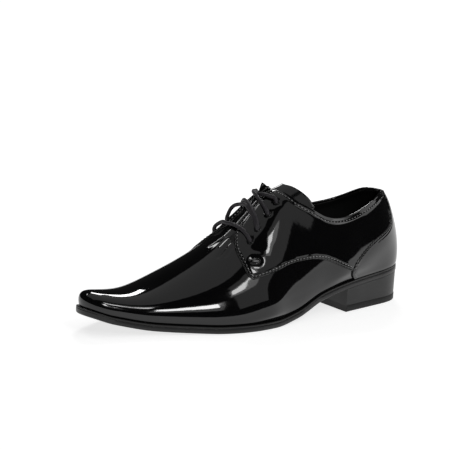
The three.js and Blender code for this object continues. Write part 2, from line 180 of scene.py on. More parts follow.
def patentLook(name, gloss, peelDepth):
    values = patentValues
    look = Look(name)
    wave = look.bump(look.cloud(values["waveSize"], 1), values["waveDepth"])
    ripple = look.bump(look.cloud(values["rippleSize"]), values["rippleDepth"], wave)
    peel = look.bump(look.cloud(values["peelSize"]), peelDepth, ripple)
    tone = look.between(values["low"], values["high"], look.cloud(values["toneSize"], 3))
    haze = look.varied(gloss, values["haze"], look.cloud(values["hazeSize"], 3))
    look.set(baseColor=tone, roughness=haze, normal=peel)
    return look.material


# Grained leather and rubber
grainValues = {"detail": 4, "coarse": 0.65, "shadeSize": 9, "wearSize": 30, "wear": 0.16}


def grainLook(name, low, high, rough, grainSize, grainDepth, sheen):
    values = grainValues
    look = Look(name)
    grain = look.cloud(grainSize, values["detail"], values["coarse"])
    shade = look.between(low, high, look.cloud(values["shadeSize"], values["detail"]))
    wear = look.varied(rough, values["wear"], look.cloud(values["wearSize"], 3))
    look.set(baseColor=shade, roughness=wear, normal=look.bump(grain, grainDepth), specularIorLevel=sheen)
    return look.material


# Brushed and waxed edge: fine streaks that run along the sole
edgeValues = {
    "stretch": (0.12, 0.12, 1.6),
    "detail": 3,
    "coarse": 0.6,
    "streakDepth": 0.03,
    "fineSize": 0.9,
    "fineDepth": 0.008,
    "wearSize": 12,
    "wear": 0.14,
}


def edgeLook(name, low, high, rough, streakSize, sheen):
    values = edgeValues
    look = Look(name)
    stretched = look.add("ShaderNodeMapping", values={"Vector": look.spot(), "Scale": values["stretch"]})
    streaks = look.cloud(streakSize, values["detail"], values["coarse"], stretched)
    fine = look.bump(look.cloud(values["fineSize"]), values["fineDepth"])
    wear = look.varied(rough, values["wear"], look.cloud(values["wearSize"], 3))
    look.set(baseColor=look.between(low, high, streaks), roughness=wear, specularIorLevel=sheen)
    look.set(normal=look.bump(streaks, values["streakDepth"], fine))
    return look.material


threadValues = {"twistSize": 0.5, "twistDepth": 0.05, "wear": 0.2, "fade": 0.4}


def threadLook(name, shade, rough):
    values = threadValues
    look = Look(name)
    twist = look.cloud(values["twistSize"], 1)
    tone = look.between(shade * (1 - values["fade"]), shade * (1 + values["fade"]), twist)
    look.set(baseColor=tone, roughness=look.varied(rough, values["wear"], twist))
    look.set(normal=look.bump(twist, values["twistDepth"]))
    return look.material


# Round braid: two families of slanting strands, read from the cord's own length and turn
cordValues = {
    "perMetre": 900,
    "strands": 4,
    "fluffSize": 0.35,
    "fluffTone": 0.25,
    "fluffHigh": 0.2,
    "rough": 0.72,
    "wear": 0.2,
    "depth": 0.14,
}


def cordLook(name, darkest, lightest):
    values = cordValues
    look = Look(name)
    own = look.add("ShaderNodeUVMap", {"uv_map": "own"})
    ahead, turn = (look.add("ShaderNodeSeparateXYZ", values={0: own}, out=out) for out in (0, 1))

    def family(strands):
        turned = (ahead * values["perMetre"] + turn * strands) * (2 * math.pi)
        return look.add("ShaderNodeMath", {"operation": "SINE"}, {0: turned})

    both = {0: family(values["strands"]), 1: family(-values["strands"])}
    braid = look.add("ShaderNodeMath", {"operation": "MAXIMUM"}, both) * 0.5 + 0.5
    fluff = look.cloud(values["fluffSize"])
    # The colour is painted lighter on the strands' crests and darker in the grooves between them, painted
    # shade on a black cord, with a random fluff tone mixed in
    tone, height = (braid * (1 - values[key]) + fluff * values[key] for key in ("fluffTone", "fluffHigh"))
    look.set(baseColor=look.between(darkest, lightest, tone), normal=look.bump(height, values["depth"]))
    look.set(roughness=values["rough"] - braid * values["wear"])
    return look.material


patent = patentLook("patentLeather", gloss=0.055, peelDepth=0.004)
tonguePatent = patentLook("creasedPatentLeather", gloss=0.105, peelDepth=0.024)
looks = {
    "lining": grainLook("liningLeather", 0.006, 0.01, rough=0.62, grainSize=0.7, grainDepth=0.05, sheen=0.3),
    "sock": grainLook("sockLeather", 0.006, 0.011, rough=0.66, grainSize=0.6, grainDepth=0.05, sheen=0.3),
    "sole": edgeLook("waxedSoleEdge", 0.004, 0.008, rough=0.36, streakSize=1.1, sheen=0.4),
    "tread": grainLook("soleTread", 0.006, 0.012, rough=0.6, grainSize=1.4, grainDepth=0.08, sheen=0.4),
    "heel": edgeLook("brushedHeelStack", 0.005, 0.012, rough=0.42, streakSize=1.4, sheen=0.36),
    "lift": grainLook("heelRubber", 0.003, 0.006, rough=0.55, grainSize=0.9, grainDepth=0.05, sheen=0.35),
    # The stitching thread is black. This copy's colour is painted light grey as a painted highlight,
    # standing in for the glints on its stitches. The edgeThread copy below stays near black.
    "thread": threadLook("threadPaintedWithGlints", shade=0.28, rough=0.35),
    "edgeThread": threadLook("edgeThread", shade=0.05, rough=0.3),
    "cord": cordLook("roundLace", (0.006, 0.005, 0.007), (0.020, 0.017, 0.022)),
}
print("looks made")


# The last, the form that every piece is drawn on. Lengths in mm, shares as in the tables.
last = {
    "length": 300,
    "breadth": 103,
    "instep": 95,
    "back": 90,
    "heel": 24.2,
    "toeSpring": 15.5,
    "sole": 5.6,
    "seatGap": 0.3,
    "ahead": -146.997,  # from the heel's back to the middle of the shoe
    "aside": -5.504,
}
# at, out, at, out (outer, inner), ridge at, then lean, rise and shoulder of the outer and inner side
sections = np.array([
    [0.000, 0.000, 0.000, 0.000, 0.145, 8.5, 0.420, 0.200, 8.5, 0.420, 0.200],
    [0.030, 0.193, 0.030, -0.205, 0.150, 8.0, 0.420, 0.140, 8.0, 0.420, 0.140],
    [0.110, 0.282, 0.110, -0.295, 0.175, 13, 0.467, 0.194, 13, 0.467, 0.194],
    [0.270, 0.386, 0.260, -0.270, 0.270, 16, 0.467, 0.175, 20, 0.467, 0.175],
    [0.440, 0.477, 0.430, -0.220, 0.430, 20, 0.333, 0.214, 32, 0.400, 0.214],
    [0.620, 0.522, 0.670, -0.430, 0.640, 22, 0.200, 0.262, 14, 0.200, 0.243],
    [0.800, 0.328, 0.820, -0.300, 0.805, 20, 0.144, 0.214, 16, 0.144, 0.194],
    [0.930, 0.187, 0.930, -0.165, 0.905, 16, 0.118, 0.135, 15, 0.118, 0.135],
    [0.971, 0.107, 0.970, -0.075, 0.934, 11, 0.103, 0.120, 11, 0.103, 0.120],
    [0.980, 0.012, 0.980, 0.012, 0.938, 10, 0.101, 0.110, 10, 0.101, 0.110],
])
ridgeRows = np.array([  # at, high, aside
    [0.10, 1.280, 0.000], [0.25, 1.253, 0.022], [0.38, 1.126, 0.046], [0.46, 0.997, 0.060],
    [0.55, 0.750, 0.057], [0.64, 0.563, 0.050], [0.74, 0.418, 0.031], [0.84, 0.324, 0.014],
    [0.93, 0.334, 0.000],
])
undersideRows = np.array([  # at, share of the heel, share of the toe spring
    [0.00, 1.00, 0.00], [0.10, 0.91, 0.00], [0.22, 0.80, 0.00], [0.32, 0.60, 0.00],
    [0.42, 0.15, 0.00], [0.50, 0.00, 0.00], [0.65, 0.00, 0.00], [0.72, 0.00, 0.06],
    [0.82, 0.00, 0.20], [0.92, 0.00, 0.58], [1.00, 0.00, 1.00],
])


def spline(places, values):
    places, values = np.array(places, float), np.array(values, float)
    count = len(places)
    step = np.diff(places)
    sums = np.eye(count)
    turns = np.zeros_like(values)
    for i in range(1, count - 1):
        sums[i, i - 1:i + 2] = step[i - 1], 2 * (step[i - 1] + step[i]), step[i]
        slopes = (values[i + 1] - values[i]) / step[i] - (values[i] - values[i - 1]) / step[i - 1]
        turns[i] = 6 * slopes
    bend = np.linalg.solve(sums, turns)

    def curve(place):
        place = np.asarray(place, float)
        k = np.clip(np.searchsorted(places, place) - 1, 0, count - 2)
        size = step[k]
        a, b = (places[k + 1] - place) / size, (place - places[k]) / size
        if values.ndim > 1:
            a, b, size = a[..., None], b[..., None], size[..., None]
        bow = (a**3 - a) * bend[k] + (b**3 - b) * bend[k + 1]
        return a * values[k] + b * values[k + 1] + bow * size * size / 6
    return curve


def steady(places, values):  # never overshoots, so flats stay flat
    slopes = np.zeros(len(places))
    rates = np.diff(values) / np.diff(places)
    for i in range(1, len(places) - 1):
        if rates[i - 1] * rates[i] > 0:
            slopes[i] = 2 * rates[i - 1] * rates[i] / (rates[i - 1] + rates[i])

    def curve(place):
        place = np.asarray(place, float)
        k = np.clip(np.searchsorted(places, place) - 1, 0, len(places) - 2)
        size = places[k + 1] - places[k]
        s = np.clip((place - places[k]) / size, 0, 1)
        rise = values[k] * (1 + 2 * s) * (1 - s)**2 + values[k + 1] * s * s * (3 - 2 * s)
        return rise + size * (slopes[k] * s * (1 - s)**2 + slopes[k + 1] * s * s * (s - 1))
    return curve


def runsOf(points):
    return np.linalg.norm(np.diff(points, axis=0), axis=1)


def shareAlong(runs):  # where the ends of the runs lie, as shares of the whole
    return np.concatenate([[0], np.cumsum(runs) / runs.sum()])


def sideOf(first, lean):  # one side's columns, in mm
    return {
        "along": sections[:, first] * last["length"],
        "across": sections[:, first + 1] * last["breadth"],
        "ridge": sections[:, 4] * last["length"],
        "lean": np.radians(sections[:, lean]),
        "rise": sections[:, lean + 1] * last["back"],
        "shoulder": sections[:, lean + 2] * last["breadth"],
    }


outer, inner = sideOf(0, 5), sideOf(2, 8)
runs = sum(np.hypot(np.diff(one["along"]), np.diff(one["across"])) for one in (outer, inner))
stations = shareAlong(runs)
around = {}
for key in outer:  # a closed ring: 0 is the heel's back, -1 and 1 the toe's tip, outer side positive
    places = np.concatenate([-stations[:0:-1], stations])
    values = np.concatenate([inner[key][:0:-1], outer[key]])
    around[key] = spline(
        np.concatenate([places[-5:-1] - 2, places, places[1:5] + 2]),
        np.concatenate([values[-5:-1], values, values[1:5]]),
    )
ridgeHigh = spline(ridgeRows[:, 0] * last["length"], ridgeRows[:, 1] * last["instep"])
ridgeAside = spline(ridgeRows[:, 0] * last["length"], ridgeRows[:, 2] * last["breadth"])
underside = steady(
    undersideRows[:, 0] * last["length"],
    undersideRows[:, 1] * last["heel"] + undersideRows[:, 2] * last["toeSpring"],
)


def smooth(value, low, high):
    s = np.clip((np.asarray(value, float) - low) / (high - low), 0, 1)
    return s * s * (3 - 2 * s)


def unit(vectors):
    return vectors / np.maximum(np.linalg.norm(vectors, axis=-1, keepdims=True), 1e-9)


def soleUnder(along):
    return underside(np.clip(along, 0, last["length"]))


def ridgeSlope(at):
    return ridgeHigh(at + 0.5) - ridgeHigh(at - 0.5)


def lastPoint(ring, up):
    ring, up = np.broadcast_arrays(np.asarray(ring, float), np.asarray(up, float))
    at = {key: curve(ring) for key, curve in around.items()}
    foot = np.stack([at["along"], at["across"], soleUnder(at["along"]) + last["sole"] + last["seatGap"]], -1)
    top = np.stack([at["ridge"], ridgeAside(at["ridge"]), ridgeHigh(at["ridge"])], -1)
    slope = ridgeSlope(at["ridge"])
    away = unit((foot - top) * [1, 1, 0])
    low = foot + away * (at["rise"] * np.sin(at["lean"]))[..., None]
    low[..., 2] += at["rise"] * np.cos(at["lean"])
    high = top + away * at["shoulder"][..., None]
    high[..., 2] += at["shoulder"] * slope * away[..., 0]
    s = up[..., None]
    return (1 - s)**3 * foot + 3 * (1 - s)**2 * s * low + 3 * (1 - s) * s * s * high + s**3 * top


def lastOut(ring, up):
    step = 0.002
    ring, up = np.broadcast_arrays(np.asarray(ring, float), np.asarray(up, float))
    mid = np.clip(up, step, 1 - step)
    rising = lastPoint(ring, mid + step) - lastPoint(ring, mid - step)
    going = lastPoint(ring + step, mid) - lastPoint(ring - step, mid)
    out = -np.cross(going, rising)
    out[..., 2] *= smooth(up, 0, 0.05)
    slope = ridgeSlope(around["ridge"](ring))
    crown = np.stack([-slope, slope * 0, slope * 0 + 1], -1)
    share = smooth(up, 1 - 2 * step, 1)[..., None]
    return unit(unit(out) * (1 - share) + unit(crown) * share)


def onLast(ring, up, off):
    return lastPoint(ring, up) + lastOut(ring, up) * np.asarray(off, float)[..., None]


def upward(ring, up):  # along the surface, towards the ridge, and how many mm one unit of up is
    way = lastPoint(ring, np.minimum(up + 0.01, 1)) - lastPoint(ring, up - 0.01)
    return unit(way), np.linalg.norm(way, axis=-1) / (np.minimum(up + 0.01, 1) - up + 0.01)


def lowered(ring, up):  # a millimetre down, so that a rolled edge ends on the style line
    return up - 1.0 / upward(ring, up)[1]


def reach(points, line):  # shortest distance from each point to a line of points
    start, way = line[:-1], np.diff(line, axis=0)
    size = np.maximum((way * way).sum(1), 1e-9)
    best = np.full(len(points), 1e9)
    for a, b, s in zip(start, way, size):
        share = np.clip(((points - a) @ b) / s, 0, 1)
        gone = points - a - share[:, None] * b
        best = np.minimum(best, (gone * gone).sum(1))
    return np.sqrt(best)


def fold(distance, radius):  # rounded edge: 0 at the edge, 1 from the radius on
    return np.sqrt(np.maximum(1 - (1 - np.clip(distance / radius, 0, 1))**2, 0))


def dip(distance, at, wide):
    return np.exp(-((distance - at) / wide)**2)


def relief(distance, marks):  # soft ridges and grooves: distance, height and width in mm
    return sum(high * dip(distance, at, wide) for at, high, wide in marks)


def bulges(points, marks):  # soft round swellings and dents: ring, up, height and width in mm
    return sum(high * dip(np.linalg.norm(points - lastPoint(ring, up), axis=-1), 0, wide)
               for ring, up, high, wide in marks)


def alongLine(rows):  # a style line by the share of its length; a station is about as long as 3 of up
    rows = np.array(rows)
    return spline(shareAlong(np.hypot(np.diff(rows[:, 0]) * 3, np.diff(rows[:, 1]))), rows)


def stretch(low, high, left, right):  # a patch between four lines
    def at(share, rise):
        share, rise = np.broadcast_arrays(np.asarray(share, float), np.asarray(rise, float))
        s, r = share[..., None], rise[..., None]
        across = low(share) * (1 - r) + high(share) * r
        upwards = left(rise) * (1 - s) + right(rise) * s
        ends = (low(0.0) * (1 - s) + low(1.0) * s) * (1 - r) + (high(0.0) * (1 - s) + high(1.0) * s) * r
        return across + upwards - ends
    return at


def graded(share, count, near, far, size):
    # rows close together at both ends: near and far list their distances in mm from the ends
    index = share * count
    start = np.interp(index, np.arange(len(near)), near) / size
    finish = 1 - np.interp(count - index, np.arange(len(far)), far) / size
    a, b = near[-1] / size, 1 - far[-1] / size
    middle = a + (b - a) * (index - len(near) + 1) / (count - len(far) - len(near) + 2)
    return np.where(index <= len(near) - 1, start, np.where(index >= count - len(far) + 1, finish, middle))


def toShoe(points):
    return (np.asarray(points) + [last["ahead"], last["aside"], 0]) * mm


# Making pieces
def grid(bm, columns, rows, place):
    made = bmesh.ops.create_grid(bm, x_segments=columns, y_segments=rows, size=0.5)["verts"]
    flat = np.array([vert.co[:2] for vert in made]) + 0.5
    spots = toShoe(place(flat[:, 0], flat[:, 1]))
    for vert, spot in zip(made, spots):
        vert.co = spot
    return made


def weld(bm):
    bmesh.ops.remove_doubles(bm, verts=bm.verts[:], dist=weldAt)


def closeUp(bm):
    weld(bm)
    bmesh.ops.recalc_face_normals(bm, faces=bm.faces[:])


# Which way a skin faces: each returns more than 0 for a face that is turned right
def outward(face):
    middle = face.calc_center_median()
    return face.normal.dot(middle - Vector((middle.x, 0.0, 0.045))) * face.calc_area()


def inward(face):
    return -outward(face)


def upwards(face):
    return face.normal.z


def finish(name, bm, look, slotName, thick=0.0, sharp=40, replaced=()):
    for face in bm.faces:
        face.smooth = True
    for edge in bm.edges:
        if len(edge.link_faces) == 2 and edge.calc_face_angle(0) > math.radians(sharp):
            edge.smooth = False
    mesh = bpy.data.meshes.new(name)
    bm.to_mesh(mesh)
    bm.free()
    piece = putInScene(name, mesh)
    mesh.materials.append(look)
    if thick:
        wall = piece.modifiers.new("wall", "SOLIDIFY")
        wall.thickness = thick * mm
        wall.offset = -1
    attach(piece, "root")
    if replaced:
        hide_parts(*replaced)
    return piece


def skin(name, values, place, look, slotName, facing=outward, keep=None, cut=None, replaced=()):
    bm = bmesh.new()
    grid(bm, values["columns"], values["rows"] + values.get("roll", 0), place)
    if keep:
        lost = [face for face in bm.faces if not keep(face)]
        bmesh.ops.delete(bm, geom=lost, context="FACES")
    weld(bm)
    if cut:
        cut(bm)
    bm.normal_update()
    if sum(facing(face) for face in bm.faces) < 0:
        bmesh.ops.reverse_faces(bm, faces=bm.faces[:])
    return finish(name, bm, look, slotName, values["thick"], replaced=replaced)


# Style lines on the last, as station and up
facingTop = [
    (0.333, 0.486), (0.363, 0.575), (0.394, 0.678), (0.424, 0.825), (0.440, 0.900), (0.461, 0.938),
    (0.505, 0.940), (0.535, 0.930), (0.565, 0.900)]
outerTopLine = spline(*zip(
    (0.000, 0.498), (0.091, 0.497), (0.172, 0.455), (0.222, 0.422), (0.269, 0.414), (0.303, 0.437),
    *facingTop))
innerTopLine = spline(*zip(
    (0.000, 0.498), (0.050, 0.497), (0.091, 0.470), (0.131, 0.428), (0.182, 0.394), (0.242, 0.392),
    (0.303, 0.430), *facingTop))
quarterFront = alongLine([
    (0.551, 0.915), (0.567, 0.860), (0.579, 0.809), (0.589, 0.750), (0.594, 0.646), (0.595, 0.545),
    (0.591, 0.470), (0.582, 0.434)])
quarterSeam = alongLine([
    (0.582, 0.434), (0.550, 0.411), (0.503, 0.385), (0.464, 0.370), (0.428, 0.346), (0.384, 0.295),
    (0.351, 0.239), (0.318, 0.179), (0.288, 0.122), (0.237, 0.055)])
quarterBack = alongLine([
    (0.237, 0.055), (0.192, 0.180), (0.131, 0.230), (0.081, 0.275), (0.056, 0.350), (0.045, 0.498)])
counterEdge = alongLine([
    (0.235, 0.000), (0.254, 0.055), (0.256, 0.098), (0.244, 0.135), (0.228, 0.165), (0.208, 0.198),
    (0.183, 0.228), (0.150, 0.255), (0.119, 0.280), (0.093, 0.315), (0.080, 0.360), (0.073, 0.420),
    (0.071, 0.480)])
tongueEdge = alongLine([
    (0.595, 0.880), (0.565, 0.780), (0.505, 0.690), (0.444, 0.620), (0.394, 0.575), (0.348, 0.570)])
tongueTop = alongLine([
    (0.348, 0.570), (0.355, 0.640), (0.367, 0.710), (0.382, 0.790), (0.397, 0.870), (0.408, 0.945),
    (0.412, 1.000)])


def topUp(ring):
    return np.where(ring < 0, innerTopLine(np.abs(ring)), outerTopLine(np.abs(ring)))


# Laces: a round waxed cord through four pairs of holes
laceValues = {
    "diameter": 3.1,
    "steps": 90,
    "sides": 14,
    "holes": [(0.549, 0.708), (0.521, 0.737), (0.484, 0.762), (0.453, 0.790)],
    # ring, up and mm off the last, from the outer hole over the tongue to the inner hole
    "strands": {
        "laceLow": ["lace_low", [[
            (0.549, 0.708, -2.6), (0.549, 0.708, 0.9), (0.5497, 0.735, 2.5), (0.5497, 0.80, 2.7),
            (0.5527, 0.882, 2.5), (0.5545, 0.965, 2.2), (-0.5535, 0.94, 2.3), (-0.5470, 0.86, 2.6),
            (-0.5445, 0.785, 3.0), (-0.5475, 0.738, 3.0), (-0.549, 0.708, 0.9), (-0.549, 0.708, -2.6)]]],
        "laceMiddle": ["lace_middle", [[
            (0.5225, 0.737, -2.6), (0.5225, 0.737, 0.9), (0.5210, 0.765, 2.5), (0.5165, 0.833, 2.8),
            (0.5130, 0.913, 2.9), (0.5095, 0.985, 3.0), (-0.5020, 0.854, 2.9), (-0.5030, 0.80, 4.6),
            (-0.5090, 0.775, 4.5), (-0.5160, 0.755, 2.9), (-0.521, 0.737, 0.9), (-0.521, 0.737, -2.6)], [
            (0.5190, 0.737, -2.6), (0.5190, 0.737, 0.9), (0.5165, 0.765, 3.2), (0.5120, 0.833, 3.6),
            (0.5080, 0.905, 3.6), (0.5035, 0.980, 3.4), (-0.4945, 0.90, 2.8), (-0.4870, 0.84, 2.6),
            (-0.4840, 0.795, 2.4), (-0.484, 0.762, 0.9), (-0.484, 0.762, -2.6)]]],
        "laceHigh": ["lace_high", [[
            (0.484, 0.762, -2.6), (0.484, 0.762, 0.9), (0.4849, 0.79, 2.5), (0.4849, 0.84, 2.7),
            (0.4849, 0.896, 2.8), (0.4819, 0.975, 3.0), (-0.4740, 0.93, 3.2), (-0.4640, 0.866, 3.0),
            (-0.4570, 0.82, 2.6), (-0.453, 0.79, 0.9), (-0.453, 0.79, -2.6)], [
            (0.453, 0.790, -2.6), (0.453, 0.790, 0.9), (0.4535, 0.812, 2.5), (0.4608, 0.855, 2.6),
            (0.4683, 0.908, 2.7), (0.4745, 0.965, 2.4), (-0.4720, 0.94, 1.6), (-0.4600, 0.87, 2.0),
            (-0.4550, 0.82, 2.0), (-0.453, 0.79, 0.9), (-0.453, 0.79, -2.6)]]],
    },
}


def laceRoute(marks):
    marks = np.array(marks)
    route = onLast(marks[:, 0], marks[:, 1], marks[:, 2])
    runs = runsOf(route)
    return spline(shareAlong(runs), route), runs.sum()


def tubeAlong(bm, route, size, radius, steps, sides):
    layer = bm.loops.layers.uv.get("own") or bm.loops.layers.uv.new("own")
    before = set(bm.faces)
    middle = route(np.linspace(0, 1, steps + 1))
    way = unit(np.gradient(middle, axis=0))
    across = [unit(np.cross(way[0], [0.3, 0.2, 1.0]))]
    for one in way[1:]:
        across.append(unit(across[-1] - one * (across[-1] @ one)))
    across = np.array(across)
    beside = np.cross(way, across)

    def place(u, v):
        k = np.round(u * steps).astype(int)
        turn = v[:, None] * 2 * np.pi
        return middle[k] + (across[k] * np.cos(turn) + beside[k] * np.sin(turn)) * radius

    made = bmesh.ops.create_grid(bm, x_segments=steps, y_segments=sides, size=0.5)["verts"]
    flat = np.array([vert.co[:2] for vert in made]) + 0.5
    share = {vert: pair for vert, pair in zip(made, flat)}
    for face in bm.faces:
        if face not in before:
            for loop in face.loops:
                u, v = share[loop.vert]
                loop[layer].uv = (u * size * mm, v)
    for vert, spot in zip(made, toShoe(place(flat[:, 0], flat[:, 1]))):
        vert.co = spot


def makeLaces():
    radius = laceValues["diameter"] / 2
    for name, (node, strands) in laceValues["strands"].items():
        bm = bmesh.new()
        for marks in strands:
            route, size = laceRoute(marks)
            tubeAlong(bm, route, size, radius, laceValues["steps"], laceValues["sides"])
        weld(bm)
        bmesh.ops.holes_fill(bm, edges=[edge for edge in bm.edges if edge.is_boundary], sides=0)
        bmesh.ops.recalc_face_normals(bm, faces=bm.faces[:])
        finish(name, bm, looks["cord"], "lace", replaced=[node])


makeLaces()
print("laces threaded")

# Sole, heel and lift: stacks of the last's outline, in mm
bottomValues = {
    "edgeFore": 2.1,    # how far the sole stands out round the forepart
    "edgeHeel": 1.5,
    "edgeTurn": (0.3, 0.5),  # stations between which the one becomes the other
    "stations": 110,
    "heelStations": 44,
    "across": 24,
    "breastAt": 70,  # the heel's front face
    "lift": 5.2,     # thickness
    "gap": 0.06,     # between the block and the lift
    # inset from the sole's edge, with the height over the tread or the depth below the sole's top
    "soleLow": [(1.1, 0.0), (0.55, 0.12), (0.18, 0.45), (0.03, 0.95), (0.0, 1.5)],
    "soleHigh": [(0.0, 1.75), (0.08, 1.6), (0.42, 1.5), (0.42, 1.3), (0.12, 1.2), (0.05, 0.9), (0.12, 0.4),
                 (0.45, 0.1), (1.0, 0.0)],
    "heelBevel": 0.25,
    "liftBevel": 0.2,
    "bevelFrom": 35,  # degrees
}


def outline(ring, margin):
    step = 0.002
    at = np.stack([around["along"](ring), around["across"](ring)], -1)
    way = [around[key](ring + step) - around[key](ring - step) for key in ("along", "across")]
    way = unit(np.stack(way, -1))
    return at + np.stack([way[..., 1], -way[..., 0]], -1) * -np.asarray(margin)[..., None]


def soleEdge(ring):
    fore, heel = bottomValues["edgeFore"], bottomValues["edgeHeel"]
    return heel + (fore - heel) * smooth(np.abs(ring), *bottomValues["edgeTurn"])


def ringWhere(sign, along):  # the ring's place at that many mm along the back half
    places = np.linspace(0, 0.5, 2001)
    return sign * np.interp(along, around["along"](sign * places), places)


def stack(name, levels, look, under, slotName, breast=None, bevel=0.0, replaced=()):
    # levels: inset from the sole's edge, and a height as a function of the place along the shoe
    ends = (1.0, 1.0) if breast is None else (abs(ringWhere(-1, breast)), ringWhere(1, breast))
    columns, rows = bottomValues["stations" if breast is None else "heelStations"], bottomValues["across"]

    def spread(u):  # close together at the round heel and toe
        return (1 - np.cos(u * math.pi)) / 2 if breast is None else 1 - np.cos(u * math.pi / 2)

    def edge(ring, level):
        inset, high = levels[level]
        flat = outline(ring, soleEdge(ring) - inset)
        return np.concatenate([flat, high(flat[..., 0])[..., None]], -1)

    def lid(level):
        def place(u, v):
            low, far = edge(-spread(u) * ends[0], level), edge(spread(u) * ends[1], level)
            spots = low * (1 - v[:, None]) + far * v[:, None]
            spots[:, 2] = levels[level][1](spots[:, 0])
            return spots
        return place

    def rising(rim):  # a wall from level to level
        def place(u, v):
            index = np.round(v * (len(levels) - 1)).astype(int)
            spots = np.zeros((len(u), 3))
            for level in range(len(levels)):
                spots[index == level] = rim(u, level)[index == level]
            return spots
        return place

    def side(u, level):
        share = spread(np.abs(u * 2 - 1))
        return edge(np.where(u < 0.5, -share * ends[0], share * ends[1]), level)

    def front(u, level):
        return lid(level)(np.ones_like(u), u)

    bm = bmesh.new()
    grid(bm, columns, rows, lid(0))
    treads = len(bm.faces)
    grid(bm, columns, rows, lid(len(levels) - 1))
    grid(bm, columns * 2, len(levels) - 1, rising(side))
    if breast is not None:
        grid(bm, rows, len(levels) - 1, rising(front))
    bm.faces.ensure_lookup_table()
    for face in bm.faces[:treads]:
        face.material_index = 1
    closeUp(bm)
    piece = finish(name, bm, look, slotName, sharp=30, replaced=replaced)
    piece.data.materials.append(under)
    if bevel:
        soft = piece.modifiers.new("edges", "BEVEL")
        soft.width = bevel * mm
        soft.segments = 2
        soft.limit_method = "ANGLE"
        soft.angle_limit = math.radians(bottomValues["bevelFrom"])
    return piece


def above(height):
    return lambda along: soleUnder(along) + height


def level(height):
    return lambda along: along * 0 + height


def makeBottom():
    values = bottomValues
    thick, lift, breast = last["sole"], values["lift"], values["breastAt"]
    soleLevels = [(inset, above(high)) for inset, high in values["soleLow"]]
    soleLevels += [(inset, above(thick - deep)) for inset, deep in values["soleHigh"]]
    stack("soleEdge", soleLevels, looks["sole"], looks["tread"], "outsole", replaced=["outsole"])
    blockLevels = [(0.9, level(lift + values["gap"])), (0.75, level(lift + 4)), (0.4, above(0.0))]
    stack("heelStack", blockLevels, looks["heel"], looks["heel"], "heel_block", breast, values["heelBevel"],
          ["heel_block"])
    liftLevels = [(1.1, level(0.0)), (0.7, level(0.6)), (0.6, level(lift - 0.3)), (0.75, level(lift))]
    stack("heelTopPiece", liftLevels, looks["lift"], looks["lift"], "heel_lift", breast, values["liftBevel"],
          ["heel_lift"])


makeBottom()
print("sole and heel built")

# Vamp: one sheet over the toe, folded in at the throat and tucked in along the sole
vampValues = {
    "columns": 280,
    "rows": 190,
    "start": 0.12,        # station of the sheet's back end
    "throat": 0.580,
    "throatColumn": 0.3,  # share of the columns behind the throat
    "throatRun": 220,     # mm in one station there
    "thick": 1.0,
    "edge": 0.9,
    "edgeRadius": 1.0,
    "turnIn": 0.98,       # share of the width where the sheet turns in under the foot
    "under": 1.6,
    "featherDeep": 0.25,  # the leather is drawn in where it meets the sole
    "featherHigh": 0.012,
    # station and up of the sheet's edge under the quarters, and how far it runs on
    "cut": [(0.200, 0.100), (0.288, 0.122), (0.351, 0.239), (0.428, 0.346), (0.503, 0.385), (0.550, 0.411),
            (0.567, 0.500)],
    "cutMore": 0.07,
    # walking creases ahead of the throat: line, depth and width in mm, negative where the leather swells
    "creases": [
        ([(0.574, 0.850), (0.590, 0.842), (0.607, 0.826), (0.631, 0.793)], 0.45, 1.3),
        ([(0.578, 0.795), (0.599, 0.777), (0.616, 0.751)], 0.35, 1.2),
        ([(0.570, 0.900), (0.592, 0.900), (0.612, 0.892)], 0.22, 0.8),
        ([(0.572, 0.955), (0.596, 0.975), (0.622, 0.995)], -0.35, 1.8),
        ([(-0.575, 0.90), (-0.60, 0.89), (-0.63, 0.87)], 0.30, 1.0),
        ([(-0.578, 0.80), (-0.60, 0.785), (-0.625, 0.76)], 0.25, 1.0),
    ],
    # the leather swells over the joint of the little toe: ring, up, height and width in mm
    "joint": [(0.5300, 0.1300, 1.8, 14.0), (0.5500, 0.2350, 0.6, 12.0)],
    # and on both sides over the heel's stiffener
    "heel": [(0.2980, 0.0700), (0.2750, 0.1250), (0.2600, 0.0900), (0.2250, 0.1150), (0.1950, 0.1600),
             (0.1600, 0.1950), (0.1250, 0.2200)],
    "heelHigh": 1.1,
    "heelWide": 12.5,
    "swellFrom": 0.08,    # no swelling where the upper meets the sole
}


def swelling(points):
    high, wide = vampValues["heelHigh"], vampValues["heelWide"]
    heel = [(sign * ring, up, high, wide) for sign in (1, -1) for ring, up in vampValues["heel"]]
    return bulges(points, vampValues["joint"] + heel)


def swellingOver(points, up):
    return swelling(points) * smooth(up, 0, vampValues["swellFrom"])


def feather(up):
    return vampValues["featherDeep"] * dip(up, 0, vampValues["featherHigh"])


def creaseLine(marks):
    line = alongLine(marks)(np.linspace(0, 1, 16))
    return lastPoint(line[:, 0], line[:, 1])


def vampPlace(station, v):
    values = vampValues
    side = v * 2 - 1
    ring = np.where(side < 0, -station, station)
    beyond = np.clip((np.abs(side) - values["turnIn"]) / (1 - values["turnIn"]), 0, 1)
    up = np.maximum(np.where(beyond > 0, 0, 1 - np.abs(side) / values["turnIn"]), 0)
    off = -values["under"] * beyond - feather(up)
    throat = fold(np.abs(station - values["throat"]) * values["throatRun"], values["edgeRadius"])
    off = off - values["edge"] * (1 - throat) * (up > 0.5)
    points = lastPoint(ring, up)
    for line, depth, wide in values["creases"]:
        off = off - depth * dip(reach(points, creaseLine(line)), 0, wide)
    return onLast(ring, up, off + swellingOver(points, up))


